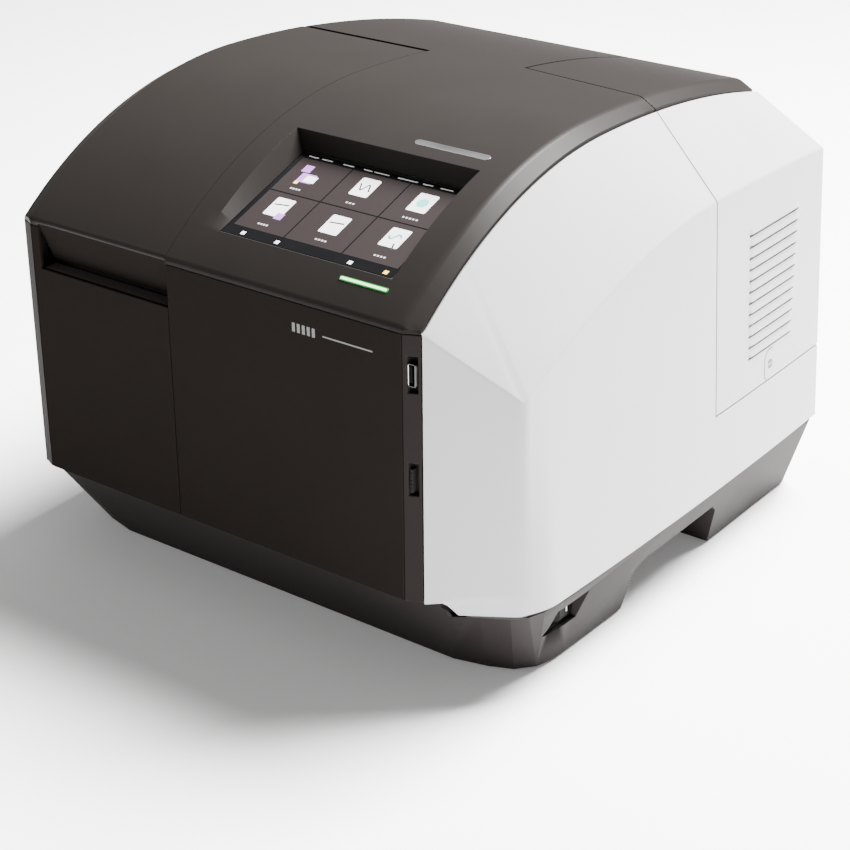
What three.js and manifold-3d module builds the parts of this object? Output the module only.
// Bench spectrophotometer: arched dark cover, white side panels, hinged sample lid,
// pull-off front panel, pull-off lamp cover, and the optics, lamps and electronics inside.
// Millimetres, +Z up. The front faces -Y, the origin is under the middle of the feet.
import * as THREE from 'three';
import { mergeVertices } from 'three/addons/utils/BufferGeometryUtils.js';
import Module from 'manifold-3d';

const wasm = await Module();
wasm.setup();

// ---------------------------------------------------------------- driving dimensions
// Depths (y) are counted from the front plane while the parts are made, and the whole
// group is moved back by half of DEPTH at the end.
const DEPTH = 430;
const HALF_WIDTH = 225;
const GAP = 0.4;
const WALL = 3;

// Arched cover: a tight front arc and a flat rear arc that meet at the highest line.
const APEX_Y = 200;
const APEX_Z = 340;
const FRONT_ARC = 301.2;
const REAR_ARC = 902;
const SHELL_DEPTH = 423;
const CREASE_X = 157.7;
const EDGE_X = 169;
const EDGE_DROP = 6.2;
const CORNER_Y = 5.3;
const REAR_TAPER = 17;

// Side panels.
const PANEL_REAR = 427;
const TIP = { x: 215, y: 48, z: 212 };
const STRIP_TOP_Z = 260;
const CREASE_HIGH_Z = 276;
const CREASE_HIGH_Y = 278;
const LOW_Z = 78;
const PANEL_BOTTOM_Z = 61;
const ROUND_END_Y = 78;
const WALL_ROUND = 4.95;

// Front.
const SEAM_X = -34;
const FRONT_TOP_Z = 260;
const GRIP_LOW_Z = 230;
const GRIP_LEFT_X = -148;
const LIP_BACK_Y = 13;

// Lid hinge.
const HINGE_Y = 275.5;
const NOSE_R = 6;
const HINGE_X = [-147.2, -44.1];
const EYE_WIDTH = 5.4;

// Lamp cover.
const COVER_LEFT_X = 47;
const COVER_FRONT_Y = 272;
const COVER_LOW_Z = 121;
const SCREW = { y: 350, z: 132, face: 219.4, post: 184 };
const LOUVRES = 12;

// Screen recess.
const SCREEN = { x0: -14, x1: 135, y0: 22.4, y1: 110.7, z0: 280.5, tilt: 20 };

// Base and inner layout.
const FOOT_H = 2;
const BASE_TOP = 60.6;
const BROW_TOP = 77.6;
const GRIP_CUT = [[183, -1], [180, 36], [188, 43], [284, 43], [292, 36], [304, -1]];
const SWITCH = { y: 97, z: 43, lean: 0.35, pivotX: 205, tip: 6, halfY: 17.6, halfZ: 9.6 };
const DECK_Z = 64.2;
const BEAM_Z = 150;
const BEAMS_Y = [76, 136];
const LAMP_X = 120;
const FILTER_RING = 22;
const FLOOR_Z = DECK_Z + 6.4;
const TUB = { x0: -156, x1: -40, y0: 17, y1: 262, z0: 100, drop: 21 };
const MONO = { x0: -30, x1: 158, y0: 48, y1: 268, z1: 178 };
const LAMP = { x0: 66, x1: 182, y0: 290, y1: 388, z1: 236 };
const FAN = { x: 118, z: 190, y0: 394, y1: 419, half: 40, r: 37 };

// ---------------------------------------------------------------- finishes
const FINISH = {
  darkShell: { color: 0x3d3936, roughness: 0.55, metalness: 0.0 },
  darkFront: { color: 0x33302c, roughness: 0.5, metalness: 0.0 },
  darkBase: { color: 0x4c4846, roughness: 0.6, metalness: 0.0 },
  white: { color: 0xdedde0, roughness: 0.45, metalness: 0.0 },
  black: { color: 0x1b1b1c, roughness: 0.6, metalness: 0.0 },
  rubber: { color: 0x141414, roughness: 0.85, metalness: 0.0 },
  glass: { color: 0x202226, roughness: 0.1, metalness: 0.0 },
  quartz: { color: 0xe6eef2, roughness: 0.05, metalness: 0.0 },
  mirror: { color: 0xdfe3e8, roughness: 0.05, metalness: 1.0 },
  steel: { color: 0xb8bbbe, roughness: 0.35, metalness: 0.9 },
  cast: { color: 0x8c8f92, roughness: 0.6, metalness: 0.7 },
  board: { color: 0x1d5b3a, roughness: 0.6, metalness: 0.0 },
  led: { color: 0x7fe08a, roughness: 0.3, metalness: 0.0 },
};

// ---------------------------------------------------------------- solids from geometry
function toSolid(geometry) {
  const plain = geometry.clone();
  plain.deleteAttribute('normal');
  plain.deleteAttribute('uv');
  const merged = mergeVertices(plain, 1e-5);
  return new wasm.Manifold(new wasm.Mesh({
    numProp: 3,
    vertProperties: new Float32Array(merged.attributes.position.array),
    triVerts: new Uint32Array(merged.index.array),
  }));
}

function toGeometry(solid) {
  const mesh = solid.getMesh();
  const geometry = new THREE.BufferGeometry();
  geometry.setAttribute('position', new THREE.BufferAttribute(new Float32Array(mesh.vertProperties), 3));
  geometry.setIndex(new THREE.BufferAttribute(new Uint32Array(mesh.triVerts), 1));
  return geometry;
}

function join(...solids) {
  return solids.reduce((sum, solid) => sum.add(solid));
}

function cut(body, ...tools) {
  return tools.reduce((rest, tool) => rest.subtract(tool), body);
}

function box(x0, x1, y0, y1, z0, z1) {
  const geometry = new THREE.BoxGeometry(x1 - x0, y1 - y0, z1 - z0);
  geometry.translate((x0 + x1) / 2, (y0 + y1) / 2, (z0 + z1) / 2);
  return toSolid(geometry);
}

const AXIS = {
  x: new THREE.Vector3(1, 0, 0),
  y: new THREE.Vector3(0, 1, 0),
  z: new THREE.Vector3(0, 0, 1),
};

// Extrudes an outline of [a, b] pairs along the third axis of the given right-handed basis.
function prism(outline, basis, from, to) {
  const shape = new THREE.Shape(outline.map(([a, b]) => new THREE.Vector2(a, b)));
  const geometry = new THREE.ExtrudeGeometry(shape, { depth: to - from, bevelEnabled: false });
  geometry.translate(0, 0, from);
  geometry.applyMatrix4(new THREE.Matrix4().makeBasis(...basis));
  return toSolid(geometry);
}

// Outline in [y, z], extruded along X.
function prismX(outline, x0, x1) {
  return prism(outline, [AXIS.y, AXIS.z, AXIS.x], x0, x1);
}

// Outline in [x, z], extruded along Y.
function prismY(outline, y0, y1) {
  return prism(outline.map(([x, z]) => [z, x]), [AXIS.z, AXIS.x, AXIS.y], y0, y1);
}

// Outline in [x, y], extruded along Z.
function prismZ(outline, z0, z1) {
  return prism(outline, [AXIS.x, AXIS.y, AXIS.z], z0, z1);
}

// Rounded rectangle outline as [a, b] pairs.
function roundRect(a0, a1, b0, b1, r, steps = 3) {
  const corners = [[a1 - r, b0 + r, -90], [a1 - r, b1 - r, 0], [a0 + r, b1 - r, 90], [a0 + r, b0 + r, 180]];
  return corners.flatMap(([ca, cb, start]) => Array.from({ length: steps + 1 }, (_, i) => {
    const angle = THREE.MathUtils.degToRad(start + (90 * i) / steps);
    return [ca + r * Math.cos(angle), cb + r * Math.sin(angle)];
  }));
}

// Round bar between two values along an axis, at the other two coordinates.
function bar(axis, centre, from, to, radius, sides = 20) {
  const geometry = new THREE.CylinderGeometry(radius, radius, to - from, sides);
  const [x, y, z] = centre;
  const middle = (from + to) / 2;
  if (axis === 'x') geometry.rotateZ(Math.PI / 2).translate(middle, y, z);
  if (axis === 'y') geometry.translate(x, middle, z);
  if (axis === 'z') geometry.rotateX(Math.PI / 2).translate(x, y, middle);
  return toSolid(geometry);
}

// Turned body: profile of [radius, height] pairs from axis to axis, standing on Z.
function turned(profile, x, y, z, sides = 20) {
  const points = profile.map(([r, h]) => new THREE.Vector2(r, h));
  const geometry = new THREE.LatheGeometry(points, sides);
  geometry.rotateX(Math.PI / 2).translate(x, y, z);
  return toSolid(geometry);
}

// Closed skin through rings of equal length, each a loop of [x, y, z].
function loft(rings) {
  const size = rings[0].length;
  const index = [];
  for (let k = 0; k + 1 < rings.length; k += 1) {
    for (let i = 0; i < size; i += 1) {
      const j = (i + 1) % size;
      const a = k * size + i;
      const b = k * size + j;
      index.push(a, b, b + size, a, b + size, a + size);
    }
  }
  index.push(...capTriangles(rings[0], 0, -1));
  index.push(...capTriangles(rings[rings.length - 1], (rings.length - 1) * size, 1));
  const geometry = new THREE.BufferGeometry();
  geometry.setAttribute('position', new THREE.Float32BufferAttribute(rings.flat(2), 3));
  geometry.setIndex(index);
  if (signedVolume(geometry) < 0) index.reverse();
  geometry.setIndex(index);
  return toSolid(geometry);
}

// Triangles of one end ring, wound with the ring (side 1) or against it (side -1).
function capTriangles(ring, offset, side) {
  const flatY = Math.abs(ring[0][1] - ring[2][1]) < 1e-9;
  const contour = ring.map(([x, y, z]) => new THREE.Vector2(x, flatY ? z : y));
  const ringSign = Math.sign(THREE.ShapeUtils.area(contour));
  const out = [];
  for (const tri of THREE.ShapeUtils.triangulateShape(contour, [])) {
    const sign = Math.sign(THREE.ShapeUtils.area(tri.map((i) => contour[i])));
    const ordered = sign * ringSign * side > 0 ? tri : [tri[0], tri[2], tri[1]];
    out.push(...ordered.map((i) => i + offset));
  }
  return out;
}

function signedVolume(geometry) {
  const position = geometry.attributes.position;
  const index = geometry.index.array;
  const [a, b, c] = [new THREE.Vector3(), new THREE.Vector3(), new THREE.Vector3()];
  let sum = 0;
  for (let i = 0; i < index.length; i += 3) {
    a.fromBufferAttribute(position, index[i]);
    b.fromBufferAttribute(position, index[i + 1]);
    c.fromBufferAttribute(position, index[i + 2]);
    sum += a.dot(b.cross(c));
  }
  return sum / 6;
}

function mirrored(solid) {
  return solid.mirror([1, 0, 0]);
}

function steps(from, to, count) {
  return Array.from({ length: count + 1 }, (_, i) => from + ((to - from) * i) / count);
}

// ---------------------------------------------------------------- outer surfaces
function archZ(y) {
  const front = y < APEX_Y;
  const radius = front ? FRONT_ARC : REAR_ARC;
  return APEX_Z - radius + Math.sqrt(radius ** 2 - (APEX_Y - y) ** 2);
}

function taper(y) {
  return REAR_TAPER * (Math.max(y, 0) / SHELL_DEPTH) ** 2;
}

// Half width of the cover's outer edge, cut across at the two front corners.
function edgeX(y) {
  const corner = Math.min(Math.max(y, 0) / CORNER_Y, 1);
  return CREASE_X + 0.6 + (EDGE_X - CREASE_X - 0.6) * corner - taper(y);
}

function edgeZ(y) {
  return archZ(y) - EDGE_DROP * Math.min(Math.max(y, 0) / CORNER_Y, 1);
}

// Solid under the arched cover, shrunk inwards by inset.
function underArch(inset, y0, y1, floorZ) {
  const stations = [y0, Math.max(CORNER_Y, y0 + 1), ...steps(Math.max(16, y0 + 4), y1, 26)];
  return loft(stations.map((y) => {
    const edge = edgeX(y) - inset;
    const crease = CREASE_X - taper(y) - inset * 0.5;
    const top = archZ(y) - inset;
    const low = edgeZ(y) - inset;
    return [[-edge, y, floorZ], [-edge, y, low], [-crease, y, top], [crease, y, top],
      [edge, y, low], [edge, y, floorZ]];
  }));
}

// Outer line of a side panel's plan at the level of the chin.
function planX(y) {
  if (y <= TIP.y) return EDGE_X + 0.9 + ((TIP.x - EDGE_X - 0.9) * (y - CORNER_Y)) / (TIP.y - CORNER_Y);
  const turn = Math.min((y - TIP.y) / (ROUND_END_Y - TIP.y), 1);
  return TIP.x + (wallX(ROUND_END_Y) - TIP.x) * Math.sin((turn * Math.PI) / 2);
}

function wallX(y) {
  return HALF_WIDTH - WALL_ROUND * ((y - 206) / 220) ** 2;
}

// Lower edge of a side panel: it tucks in under the front corner and then runs level.
function lowerEdge(y) {
  if (y >= ROUND_END_Y) return [wallX(y), PANEL_BOTTOM_Z];
  const chin = THREE.MathUtils.clamp((y - 13) / 14, 0, 1);
  const z = LOW_Z - 1.5 - (LOW_Z - 1.5 - PANEL_BOTTOM_Z) * chin;
  if (y <= 27) return [Math.min(planX(y), 178 + chin), z];
  const along = Math.min((y - 27) / 20, 1);
  const round = THREE.MathUtils.clamp((y - 47) / (ROUND_END_Y - 47), 0, 1);
  return [179 + 34 * along + (wallX(ROUND_END_Y) - 213) * Math.sin((round * Math.PI) / 2), z];
}

function creasePoint(y) {
  if (y < TIP.y) {
    const t = (y - CORNER_Y) / (TIP.y - CORNER_Y);
    return [planX(y), STRIP_TOP_Z + (TIP.z - STRIP_TOP_Z) * t];
  }
  const x = TIP.x - 5 * ((y - TIP.y) / (PANEL_REAR - TIP.y)) ** 2;
  if (y > CREASE_HIGH_Y) return [x, CREASE_HIGH_Z - 4 * ((y - CREASE_HIGH_Y) / 144) ** 2];
  const rise = (CREASE_HIGH_Z - TIP.z) * (1 - (y - TIP.y) / (CREASE_HIGH_Y - TIP.y)) ** 2;
  return [x, CREASE_HIGH_Z - rise];
}

// Section of a side panel at depth y as [x, z] pairs, from its top edge to its lower edge.
function panelSection(y) {
  const crease = creasePoint(y);
  const bottom = lowerEdge(y);
  const drift = (crease[0] - bottom[0]) * ((LOW_Z - bottom[1]) / (crease[1] - bottom[1]));
  const lowX = y < ROUND_END_Y ? planX(y) : bottom[0] + drift;
  return [[edgeX(y) + GAP, edgeZ(y) - 0.3], crease, [lowX, LOW_Z], bottom];
}

// The same path moved inwards by distance, with mitred corners.
function offsetPath(path, distance) {
  const normals = path.slice(1).map(([x, z], i) => {
    const [dx, dz] = [x - path[i][0], z - path[i][1]];
    const length = Math.hypot(dx, dz);
    return [dz / length, -dx / length];
  });
  return path.map(([x, z], i) => {
    const a = normals[Math.max(i - 1, 0)];
    const b = normals[Math.min(i, normals.length - 1)];
    const scale = distance / (1 + a[0] * b[0] + a[1] * b[1]);
    return [x + (a[0] + b[0]) * scale, z + (a[1] + b[1]) * scale];
  });
}

// White side shell on the +X side, open inwards.
function sideSkin() {
  const stations = [CORNER_Y, 13, 20, 27, 34, 41, TIP.y, 55, 63, ...steps(ROUND_END_Y, PANEL_REAR, 22)];
  return loft(stations.map((y) => {
    const outer = panelSection(y);
    const inner = offsetPath(outer, WALL).reverse();
    return [...outer, ...inner].map(([x, z]) => [x, y, z]);
  }));
}

// ---------------------------------------------------------------- model
const model = new THREE.Group();
model.position.y = -DEPTH / 2;

function addPart(name, solid, finish) {
  const mesh = new THREE.Mesh(toGeometry(solid), new THREE.MeshStandardMaterial(finish));
  mesh.name = name;
  model.add(mesh);
}

function addBase() {
  const top = [[174, 24], [190, 36], [207, 46], [216, 54], [220, 66], [222, 84], [223.4, 206],
    [219, 420], [214, 430]];
  const low = [[150, 62], [174, 68], [190, 75], [200, 87], [203.5, 100], [204, 114], [204, 206],
    [200, 420], [196, 430]];
  const ring = (half, z) => [...half, ...half.slice().reverse().map(([x, y]) => [-x, y])]
    .map(([x, y]) => [x, y, z]);
  const body = loft([ring(low, FOOT_H), ring(top, BASE_TOP)]);
  const pockets = [
    box(-180, 180, 82, 170, 6, 90),
    box(-180, 180, 316, 418, 6, 90),
    box(-185, 185, 60, 418, 47.5, 90),
  ];
  const ledge = box(-210, 210, 46, 424, BASE_TOP, 90);
  const grip = prismX(GRIP_CUT, -240, 240);
  const socket = prismX(switchOutline(SWITCH.halfY, SWITCH.halfZ, SWITCH.lean), 196.6, 240);
  const tray = cut(join(body, browSolid(low, top)), ...pockets, ledge, grip, socket);
  addPart('base_tray', tray, FINISH.darkBase);
  for (const [name, x, y] of [['foot_front_left', -165, 100], ['foot_front_right', 165, 100],
    ['foot_rear_left', -165, 400], ['foot_rear_right', 165, 400]]) {
    addPart(name, bar('z', [x, y, 0], 0, FOOT_H - 0.3, 14, 24), FINISH.rubber);
  }
}

// The front wall carried on upwards at its own slope, to meet the front and side panels.
function browSolid(low, top) {
  const rise = BASE_TOP - FOOT_H;
  const ring = (z) => {
    const t = (z - FOOT_H) / rise;
    const [a, b] = [0, 1].map((i) => [0, 1].map((k) => low[i][k] + (top[i][k] - low[i][k]) * t));
    return [a, b, [b[0], 60], [-b[0], 60], [-b[0], b[1]], [-a[0], a[1]]].map(([x, y]) => [x, y, z]);
  };
  const middle = prismX([[0, 50], [44, 50], [44, BROW_TOP], [0, BROW_TOP]], -173.5, 173.5);
  const ends = prismX([[0, 50], [44, 50], [44, BASE_TOP], [26.4, BASE_TOP], [12.6, 75.8], [0, 75.8]],
    -177.4, 177.4);
  return loft([ring(50), ring(BROW_TOP)]).intersect(join(middle, ends));
}

// Outline of the switch recess as [y, z] pairs about its middle, leaning with the base.
function switchOutline(halfY, halfZ, lean) {
  return [[-halfY, -halfZ], [halfY, -halfZ], [halfY, halfZ], [-halfY, halfZ]]
    .map(([a, b]) => [SWITCH.y + a + b * lean, SWITCH.z + b]);
}

function addSwitch() {
  const { halfY, halfZ, lean } = SWITCH;
  const frame = cut(prismX(switchOutline(halfY - GAP, halfZ - GAP, lean), 197, 210),
    prismX(switchOutline(13, 7, lean), 202, 240));
  addPart('switch_frame', frame, FINISH.black);
  addPart('power_rocker', rockerSolid(), FINISH.black);
}

// Rocker with two shallow wings, tipped about its pivot so that the rear wing stands out.
function rockerSolid() {
  const turn = THREE.MathUtils.degToRad(-SWITCH.tip);
  const outline = [[0, -9.6], [5, -9.6], [6.6, 0], [5, 9.6], [0, 9.6]].map(([x, y]) => [
    SWITCH.pivotX + x * Math.cos(turn) - y * Math.sin(turn),
    SWITCH.y + x * Math.sin(turn) + y * Math.cos(turn),
  ]);
  return prismZ(outline, SWITCH.z - 6.2, SWITCH.z + 6.2);
}

function addSidePanels() {
  const skin = cut(sideSkin(), underArch(-0.35, -1, SHELL_DEPTH + 0.5, 150));
  const coverCut = box(120, 240, COVER_FRONT_Y - GAP, 440, COVER_LOW_Z - GAP, 360);
  addPart('right_side_panel', cut(skin, coverCut), FINISH.white);
  addPart('left_side_panel', mirrored(skin), FINISH.white);
  const cover = cut(skin.intersect(box(120, 240, COVER_FRONT_Y, 440, COVER_LOW_Z, 360)), ...louvreCuts(),
    bar('x', [0, SCREW.y, SCREW.z], 190, 240, 4.2));
  addPart('lamp_cover_side', cover, FINISH.white);
  const centre = [0, SCREW.y, SCREW.z];
  const screw = join(bar('x', centre, SCREW.face - 2.2, SCREW.face, 3.8),
    bar('x', centre, SCREW.post + 3, SCREW.face - 2, 2.2, 12));
  const slot = box(SCREW.face - 1, SCREW.face + 1, SCREW.y - 5, SCREW.y + 5, SCREW.z - 0.5, SCREW.z + 0.5);
  addPart('cover_screw', cut(screw, slot), FINISH.steel);
}

// Slots of the lamp vent: each a little shorter than the one above it.
function louvreCuts() {
  return steps(238, 147, LOUVRES - 1).map((z, i) => {
    const end = 390 - (9 * i) / (LOUVRES - 1);
    return box(200, 235, 317, end, z - 1.2, z + 1.2);
  });
}

// Skin of the arched cover with its front wall, trimmed to a thin lip along both sides.
function coverSkin() {
  const skin = underArch(0, 0, SHELL_DEPTH, 200).subtract(underArch(WALL, WALL, SHELL_DEPTH + 2, 190));
  const trim = loft([-2, 3.9, 4, ...steps(CORNER_Y, SHELL_DEPTH + 3, 26)].map((y) => {
    const z = y < 4 ? FRONT_TOP_Z + GAP : Math.max(edgeZ(y) - 2.4, FRONT_TOP_Z + GAP);
    return [[-200, y, 150], [-200, y, z], [200, y, z], [200, y, 150]];
  }));
  return skin.subtract(trim);
}

// Plan of the lamp cover's dark flap, grown by clear.
function flapPlan(clear) {
  return [[COVER_LEFT_X - clear, 287 - clear], [153, 273 - clear], [200, 271 - clear], [200, 440],
    [COVER_LEFT_X - clear, 440]];
}

function addTopShell() {
  const skin = coverSkin();
  const lidPlan = box(-200, SEAM_X + GAP / 2, -5, HINGE_Y + NOSE_R + GAP, 150, 360);
  const screen = box(SCREEN.x0, SCREEN.x1, SCREEN.y0, SCREEN.y1, 240, 360);
  const led = ledBar(38.4, 4.2, 12);
  addPart('top_shell', cut(skin, lidPlan, prismZ(flapPlan(GAP), 150, 360), screen, led), FINISH.darkShell);
  addPart('lamp_cover_top', skin.intersect(prismZ(flapPlan(0), 150, 360)), FINISH.darkShell);
  addPart('led_bar', ledBar(37.6, 3.4, 3), FINISH.led);
  addLid(skin);
}

// Light bar lying in the cover's slope below the screen.
function ledBar(length, width, depth) {
  const [y, z, slope] = [15.7, 277.2, 37.7];
  const geometry = new THREE.BoxGeometry(length, width, depth);
  geometry.translate(0, 0, 0.3 - (depth === 3 ? depth / 2 : 0));
  geometry.rotateX(THREE.MathUtils.degToRad(slope)).translate(117.5, y, z);
  return toSolid(geometry);
}

function addLid(skin) {
  const x1 = SEAM_X - GAP / 2;
  const axisZ = archZ(HINGE_Y) - NOSE_R;
  const roof = skin.intersect(box(-200, x1, 3.2, HINGE_Y, 150, 360));
  const faceLeft = skin.intersect(box(-200, GRIP_LEFT_X, -5, 3.3, 150, 360));
  const lip = prismX([[0, 264], [3, 266.5], [LIP_BACK_Y + 3, 236], [LIP_BACK_Y + 3, 233],
    [LIP_BACK_Y, 233]], GRIP_LEFT_X - 0.1, x1);
  const bridge = prismX([[0, 264], [3.4, 267.2], [3.4, 263], [2, 262]], GRIP_LEFT_X - 0.1, x1);
  const cheek = prismX([[1, 262], [4, 265], [LIP_BACK_Y + 3, 240], [LIP_BACK_Y + 3, 233.2],
    [LIP_BACK_Y, 233.2]], GRIP_LEFT_X - 3, GRIP_LEFT_X);
  const axis = [0, HINGE_Y, axisZ];
  const nose = bar('x', axis, -161.4, x1, NOSE_R, 28).intersect(underArch(0, 0, SHELL_DEPTH, 200));
  const bore = bar('x', axis, -160, x1 + 1, 2.2, 16);
  const eyes = HINGE_X.map((x) => {
    const [low, high] = [x - GAP, x + EYE_WIDTH + GAP];
    const round = bar('x', [0, HINGE_Y, axisZ - 0.2], low, high, 3.4, 16);
    return join(round, box(low, high, HINGE_Y - 7, HINGE_Y + 9, 300, axisZ - 1));
  });
  const body = join(roof, faceLeft, lip, bridge, cheek, nose);
  addPart('sample_lid', cut(body, bore, ...eyes), FINISH.darkShell);
  addPart('lid_liner', linerPan(), FINISH.black);
  addPart('lid_seal', linerSeal(), FINISH.rubber);
  addHinge(axis);
}

// Hinge pin and the two brackets that carry it from the sample tub.
function addHinge(axis) {
  const axisZ = axis[2];
  addPart('lid_hinge_pin', bar('x', axis, HINGE_X[0], HINGE_X[1] + EYE_WIDTH, 1.8, 16), FINISH.steel);
  ['lid_hinge_bracket_left', 'lid_hinge_bracket_right'].forEach((name, i) => {
    const x = HINGE_X[i];
    const eye = bar('x', axis, x, x + EYE_WIDTH, 2.9, 16);
    const leg = box(x, x + EYE_WIDTH, TUB.y1 + GAP, HINGE_Y - 0.2, 296, axisZ - 1.5);
    const neck = box(x, x + EYE_WIDTH, HINGE_Y - 2.9, HINGE_Y - 0.2, axisZ - 3, axisZ);
    addPart(name, cut(join(eye, leg, neck), bar('x', axis, -200, 0, 2.1, 16)), FINISH.steel);
  });
}

// Slab that follows the arch between two depths below it, or down to a flat floor.
function archSlab(high, low, y0, y1, x0, x1, floorZ = null) {
  const top = steps(y0, y1, 18).map((y) => [y, archZ(y) - high]);
  const under = floorZ === null
    ? steps(y1, y0, 18).map((y) => [y, archZ(y) - low])
    : [[y1, floorZ], [y0, floorZ]];
  return prismX([...top, ...under], x0, x1);
}

// Inner moulding of the lid: a shallow pan open towards the roof.
function linerPan() {
  const pan = archSlab(WALL + GAP, WALL + 13, 22, 260, -149, -44);
  return pan.subtract(archSlab(-4, WALL + 10.6, 24.5, 257.5, -146.5, -46.5));
}

// Foam gasket under the lid liner, a frame that follows the arch.
function linerSeal() {
  return archSlab(WALL + 13.4, TUB.drop - GAP, 24, 258, -147, -46)
    .subtract(archSlab(4, 30, 31, 251, -140, -53));
}

function addScreen() {
  const slope = Math.tan(THREE.MathUtils.degToRad(SCREEN.tilt));
  const run = SCREEN.y1 - SCREEN.y0;
  const plane = (offset, margin) => {
    const z = SCREEN.z0 + offset;
    return [[SCREEN.y0 + margin, z + margin * slope], [SCREEN.y1 - margin, z + (run - margin) * slope]];
  };
  const between = (low, high, margin, x0, x1) =>
    prismX([...plane(low, margin), ...plane(high, margin).reverse()], x0, x1);
  const block = underArch(0.3, 8, 130, 240)
    .intersect(between(-5, 40, GAP, SCREEN.x0 + GAP, SCREEN.x1 - GAP));
  const well = between(-1.6, 60, 2.2, SCREEN.x0 + 2.2, SCREEN.x1 - 2.2);
  const opening = between(-9, 0, 10, SCREEN.x0 + 10, SCREEN.x1 - 10);
  addPart('screen_bezel', cut(block, well, opening), FINISH.black);
  addPart('touch_screen', between(-1.3, 0, 2.6, SCREEN.x0 + 2.6, SCREEN.x1 - 2.6), FINISH.glass);
  addPart('display_module', between(-13, -5.4, 6, SCREEN.x0 + 6, SCREEN.x1 - 6), FINISH.steel);
}

function addFront() {
  const right = join(box(SEAM_X + GAP / 2, CREASE_X + 0.3, 0, 3.4, LOW_Z, FRONT_TOP_Z),
    box(SEAM_X + GAP / 2, SEAM_X + 3.2, 3, 12, LOW_Z + 1, FRONT_TOP_Z - 1),
    box(CREASE_X - 2.4, CREASE_X, 3, 12, LOW_Z + 1, FRONT_TOP_Z - 1));
  addPart('front_panel_right', right, FINISH.darkFront);
  const left = join(box(-CREASE_X - 0.3, SEAM_X - GAP / 2, 0, 3.4, LOW_Z, GRIP_LOW_Z),
    box(-CREASE_X - 0.3, GRIP_LEFT_X - 3.4, 0, 3.4, LOW_Z, FRONT_TOP_Z),
    box(-CREASE_X - 0.3, SEAM_X - GAP / 2, 3, 10, LOW_Z + 1, LOW_Z + 4),
    box(-CREASE_X - 0.3, SEAM_X - GAP / 2, 0, 14, GRIP_LOW_Z - 3, GRIP_LOW_Z));
  addPart('front_panel_left', left, FINISH.darkFront);

  const plan = [[CREASE_X + 0.7, 0], [EDGE_X + GAP, CORNER_Y - 0.35], [166.4, CORNER_Y - 0.35], [166.4, 14],
    [CREASE_X + 0.7, 14]];
  const strip = prismZ(plan, LOW_Z, FRONT_TOP_Z);
  const usbNotch = prismZ([[161.5, -2], [180, -2], [180, 9], [161.5, 4.5]], 222, 246);
  const usbSeat = box(158.6, 165.9, 2.2, 20, 226.6, 241.4);
  const latchNotch = prismZ([[160.5, -2], [180, -2], [180, 11], [160.5, 8]], 153, 175);
  addPart('corner_strip_right', cut(strip, usbNotch, usbSeat, latchNotch), FINISH.darkShell);
  addPart('corner_strip_left', mirrored(strip), FINISH.darkShell);
  const shell = cut(box(158.9, 165.6, 2.6, 16, 227, 241), box(159.7, 164.8, 1, 14.6, 227.8, 240.2));
  addPart('usb_port', join(shell, box(161.3, 163.1, 7.4, 15, 229.5, 238.5)), FINISH.steel);
  addPart('panel_latch', box(162, 165.6, 3.2, 7.6, 155, 169), FINISH.black);
}

function addRear() {
  const section = offsetPath(panelSection(421), WALL + 0.6);
  const edge = [edgeX(421) - WALL - 1.4, edgeZ(421) - WALL - 1.2];
  const crown = [CREASE_X - taper(421) - 2, archZ(421) - WALL - 1];
  const half = [[section[3][0] - GAP, PANEL_BOTTOM_Z + 1.2], [section[1][0] - GAP, section[1][1]],
    edge, crown];
  const outline = [...half, ...half.slice().reverse().map(([x, z]) => [-x, z])];
  const slots = steps(-150, -60, 9).map((x) => box(x, x + 4, 400, 440, 200, 260));
  const panel = cut(prismY(outline, 419.6, 422), bar('y', [FAN.x, 0, FAN.z], 400, 440, FAN.r, 32),
    box(-166, -136, 400, 440, 84, 106), box(-112, -96, 400, 440, 86, 104), box(-80, -46, 400, 440, 86, 104),
    ...slots);
  addPart('rear_panel', panel, FINISH.cast);

  const inlet = cut(join(box(-165.5, -136.5, 404, 423, 84.5, 105.5), box(-171, -131, 422.4, 425, 80, 110)),
    prismY(roundRect(-163, -139, 87, 103, 3), 407, 430));
  const pins = [[-151, 98], [-157, 92], [-145, 92]]
    .map(([x, z]) => box(x - 1, x + 1, 406, 418, z - 2, z + 2));
  addPart('power_inlet', join(inlet, ...pins), FINISH.black);
  const square = box(-111.5, -96.5, 408, 423.4, 86.5, 103.5);
  const serial = box(-79.5, -46.5, 408, 423.4, 86.5, 103.5);
  const strap = box(-112, -46, 408, 411, 88, 102);
  const squareMouth = box(-109, -99, 412, 430, 89, 101);
  const serialMouth = prismY([[-77, 100], [-49, 100], [-52, 90], [-74, 90]], 414, 430);
  addPart('rear_ports', cut(join(square, serial, strap), squareMouth, serialMouth), FINISH.steel);
  addFan();
}

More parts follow.
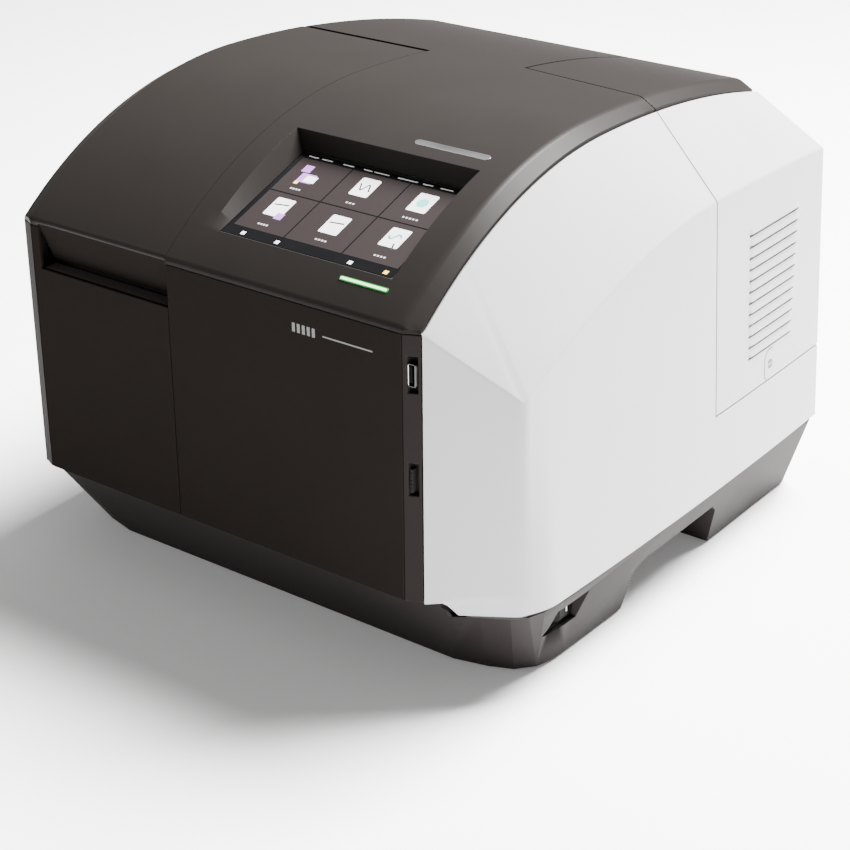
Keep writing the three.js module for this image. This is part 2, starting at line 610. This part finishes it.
function addFan() {
  const { x, z, y0, y1, half, r } = FAN;
  const frame = cut(box(x - half, x + half, y0, y1 + 0.2, z - half, z + half),
    bar('y', [x, 0, z], y0 - 5, y1 + 5, r, 32));
  const struts = join(box(x - half + 1, x + half - 1, y0, y0 + 3, z - 2, z + 2),
    box(x - 2, x + 2, y0, y0 + 3, z - half + 1, z + half - 1), bar('y', [x, 0, z], y0, y0 + 3, 14, 20));
  addPart('fan_frame', join(frame, struts), FINISH.black);
  const blades = Array.from({ length: 7 }, (_, i) => {
    const geometry = new THREE.BoxGeometry(24, 1.6, 17);
    geometry.rotateX(THREE.MathUtils.degToRad(38)).translate(22, 0, 0);
    geometry.rotateY((i * 2 * Math.PI) / 7).translate(x, y0 + 13, z);
    return toSolid(geometry);
  });
  const ring = bar('y', [x, 0, z], y0 + 3.5, y1 - 1, r - 1.5, 32);
  const hub = bar('y', [x, 0, z], y0 + 3.6, y1 - 4, 13, 20);
  addPart('fan_rotor', join(hub, ...blades).intersect(ring), FINISH.black);
  const guard = cut(prismY(roundRect(x - half, x + half, z - half, z + half, 6), 422.4, 423.6),
    ...guardWindows(x, z));
  addPart('fan_guard', guard, FINISH.steel);
}

// Two rings of arc-shaped windows in the finger guard.
function guardWindows(x, z) {
  return [[10, 20], [23, 34]].flatMap(([inner, outer]) => Array.from({ length: 6 }, (_, i) => {
    const shape = new THREE.Shape();
    const start = (i * Math.PI) / 3 + 0.07;
    const end = ((i + 1) * Math.PI) / 3 - 0.07;
    shape.absarc(0, 0, outer, start, end, false);
    shape.absarc(0, 0, inner, end, start, true);
    const points = shape.getPoints(3).map((p) => [x + p.x, z + p.y]);
    return prismY(points.slice(0, -1), 420, 426);
  }));
}

function addCompartment() {
  const { x0, x1, y0, y1, z0, drop } = TUB;
  const outer = archSlab(drop, 0, y0, y1, x0, x1, z0);
  const inner = box(x0 + 2.5, x1 - 2.5, y0 + 2.5, y1 - 2.5, z0 + 2.5, 400);
  const ports = BEAMS_Y.flatMap((y) => [bar('x', [0, y, BEAM_Z], x0 - 5, x0 + 6, 9, 20),
    bar('x', [0, y, BEAM_Z], x1 - 6, x1 + 5, 9, 20)]);
  const legs = [[x0 + 12, y0 + 44], [x1 - 12, y0 + 44], [x0 + 12, y1 - 14], [x1 - 12, y1 - 14]]
    .map(([x, y]) => box(x - 6, x + 6, y - 6, y + 6, DECK_Z + GAP, z0 + 1));
  addPart('sample_tub', cut(join(outer, ...legs), inner, ...ports), FINISH.black);

  for (const [name, x] of [['window_frame_left', x0 + 3], ['window_frame_right', x1 - 6]]) {
    const plate = prismX(roundRect(60, 152, BEAM_Z - 14, BEAM_Z + 14, 5), x, x + 3);
    const holes = BEAMS_Y.map((y) => bar('x', [0, y, BEAM_Z], x - 2, x + 5, 6.5, 20));
    addPart(name, cut(plate, ...holes), FINISH.black);
  }
  const rails = [-128, -74].map((x) => box(x, x + 6, 48, 164, z0 + 2.9, z0 + 8));
  const ties = [48, 158].map((y) => box(-124, -72, y, y + 6, z0 + 2.9, z0 + 5));
  addPart('cell_rails', join(...rails, ...ties), FINISH.cast);
  const holder = box(-134, -62, 58, 154, z0 + 8.4, 166);
  const wells = BEAMS_Y.flatMap((y) => [box(-104.3, -91.7, y - 6.3, y + 6.3, 120, 180),
    box(-140, -56, y - 4, y + 4, BEAM_Z - 8, BEAM_Z + 8)]);
  const relief = [box(-140, -108, 92, 120, z0, 180), box(-88, -56, 92, 120, z0, 180)];
  addPart('cell_holder', cut(holder, ...wells, ...relief), FINISH.black);
}

function addOptics() {
  const post = cut(box(SCREW.post, 196, SCREW.y - 7, SCREW.y + 7, DECK_Z - 1, SCREW.z + 9),
    bar('x', [0, SCREW.y, SCREW.z], SCREW.post - 5, 200, 2.7, 12));
  addPart('optical_deck', join(box(-196, 196, 52, 414, BASE_TOP + GAP, DECK_Z), post), FINISH.cast);
  const { x0, x1, y0, y1, z1 } = MONO;
  const hollow = box(x0 + 5, x1 - 5, y0 + 5, y1 - 5, DECK_Z + 6, z1 + 2);
  const exits = BEAMS_Y.map((y) => bar('x', [0, y, BEAM_Z], x0 - 2, x0 + 8, 8));
  const entry = bar('y', [LAMP_X, 0, BEAM_Z], y1 - 8, y1 + 2, 8);
  const mono = cut(box(x0, x1, y0, y1, DECK_Z + GAP, z1), hollow, ...exits, entry);
  addPart('monochromator_housing', mono, FINISH.cast);
  const posts = boardPosts().map(([x, y]) => bar('z', [x, y, 0], z1 + 3, 195.6, 3, 8));
  addPart('monochromator_cover', join(box(x0, x1, y0, y1, z1 + GAP, z1 + 3.4), ...posts), FINISH.cast);
  const gratingAxis = [100, 74, 0];
  const motor = join(box(82, 118, 56, 92, FLOOR_Z, 108), bar('z', gratingAxis, 107, 112, 8));
  addPart('grating_motor', motor, FINISH.steel);
  const mount = join(bar('z', gratingAxis, 112.4, 118, 16), box(86, 114, 64, 68, 117, 160));
  addPart('grating_mount', mount, FINISH.cast);
  addPart('grating', box(88, 112, 68.4, 73, 124, 156), FINISH.mirror);
  for (const [name, x, radius] of [['collimating_mirror', 40, 20], ['focusing_mirror', 0, 16]]) {
    const disc = bar('y', [x, 0, BEAM_Z - 10], 240, 248, radius);
    addPart(name, join(disc, box(x - 6, x + 6, 248, 258, FLOOR_Z, BEAM_Z)), FINISH.mirror);
  }
  const slot = box(LAMP_X - 0.6, LAMP_X + 0.6, 220, 235, BEAM_Z - 6, BEAM_Z + 6);
  addPart('entrance_slit', cut(box(96, 144, 226, 229, FLOOR_Z, 172), slot), FINISH.black);
  addFilterWheel();
  const detector = cut(box(-204, -160.5, 58, 154, DECK_Z + GAP, 176),
    ...BEAMS_Y.map((y) => bar('x', [0, y, BEAM_Z], -176, -155, 8)));
  addPart('detector_block', detector, FINISH.cast);
  addPart('detector_board', box(-200, -164, 62, 150, 176.4, 178), FINISH.board);
}

// Wheel of eight filters that turns behind the entrance slit, with its motor.
function addFilterWheel() {
  const wheelZ = BEAM_Z - 22;
  const holes = Array.from({ length: 8 }, (_, i) => {
    const angle = (i * Math.PI) / 4 + Math.PI / 2;
    const centre = [LAMP_X + FILTER_RING * Math.cos(angle), 0, wheelZ + FILTER_RING * Math.sin(angle)];
    return bar('y', centre, 230, 245, 5.5, 12);
  });
  const axis = [LAMP_X, 0, wheelZ];
  const disc = bar('y', axis, 234, 238, 30, 28);
  addPart('filter_wheel', cut(disc, ...holes, bar('y', axis, 230, 242, 2.4, 12)), FINISH.black);
  const body = bar('y', axis, 241, 260, 13);
  const foot = box(LAMP_X - 8, LAMP_X + 8, 244, 258, FLOOR_Z, wheelZ - 4);
  addPart('filter_motor', join(body, bar('y', axis, 232, 242, 2, 12), foot), FINISH.steel);
}

function addLamps() {
  const { x0, x1, y0, y1, z1 } = LAMP;
  const hollow = box(x0 + 2, x1 + 2, y0 + 2, y1 - 2, DECK_Z + 3, z1 - 2);
  const exit = bar('y', [LAMP_X, 0, BEAM_Z], y0 - 3, y0 + 5, 9);
  const vent = bar('y', [FAN.x, 0, FAN.z], y1 - 5, y1 + 3, 30, 24);
  addPart('lamp_housing', cut(box(x0, x1, y0, y1, DECK_Z + GAP, z1), hollow, exit, vent), FINISH.steel);
  const floor = DECK_Z + 3.4;
  const deuterium = join(bulb(152, 360, 112, 15, 74), bar('z', [152, 360, 0], floor, 113, 18));
  addPart('deuterium_lamp', deuterium, FINISH.quartz);
  const halogen = join(bulb(152, 314, 128, 6, 30), bar('z', [152, 314, 0], floor, 129, 9));
  addPart('halogen_lamp', halogen, FINISH.quartz);
  addPart('mirror_motor', box(LAMP_X - 14, LAMP_X + 14, 326, 354, floor, 118), FINISH.steel);
  const turntable = bar('z', [LAMP_X, 340, 0], 118.4, 124, 10);
  const plate = box(LAMP_X - 12, LAMP_X + 12, 338, 342, 123, 172);
  addPart('lamp_mirror', join(turntable, plate), FINISH.mirror);
}

// Glass envelope of a lamp, standing on the point given, with its radius and height.
function bulb(x, y, z, r, h) {
  return turned([[0, 0], [r * 0.7, 0], [r, h * 0.12], [r, h * 0.8], [r * 0.6, h], [0, h]], x, y, z);
}

function addElectronics() {
  const board = cut(box(-20, 150, 60, 250, 196, 197.8), ...boardHoles());
  addPart('main_board', board, FINISH.board);
  const grooves = steps(-180, -100, 8).map((x) => box(x, x + 4, 310, 380, 126, 140));
  addPart('power_supply', cut(box(-196, -80, 300, 392, DECK_Z + GAP, 128), ...grooves), FINISH.steel);
}

function boardPosts() {
  return [[-12, 68], [142, 68], [-12, 242], [142, 242]];
}

function boardHoles() {
  return boardPosts().map(([x, y]) => bar('z', [x, y, 0], 190, 200, 1.6, 8));
}

addBase();
addSwitch();
addSidePanels();
addTopShell();
addScreen();
addFront();
addRear();
addCompartment();
addOptics();
addLamps();
addElectronics();

export default model;
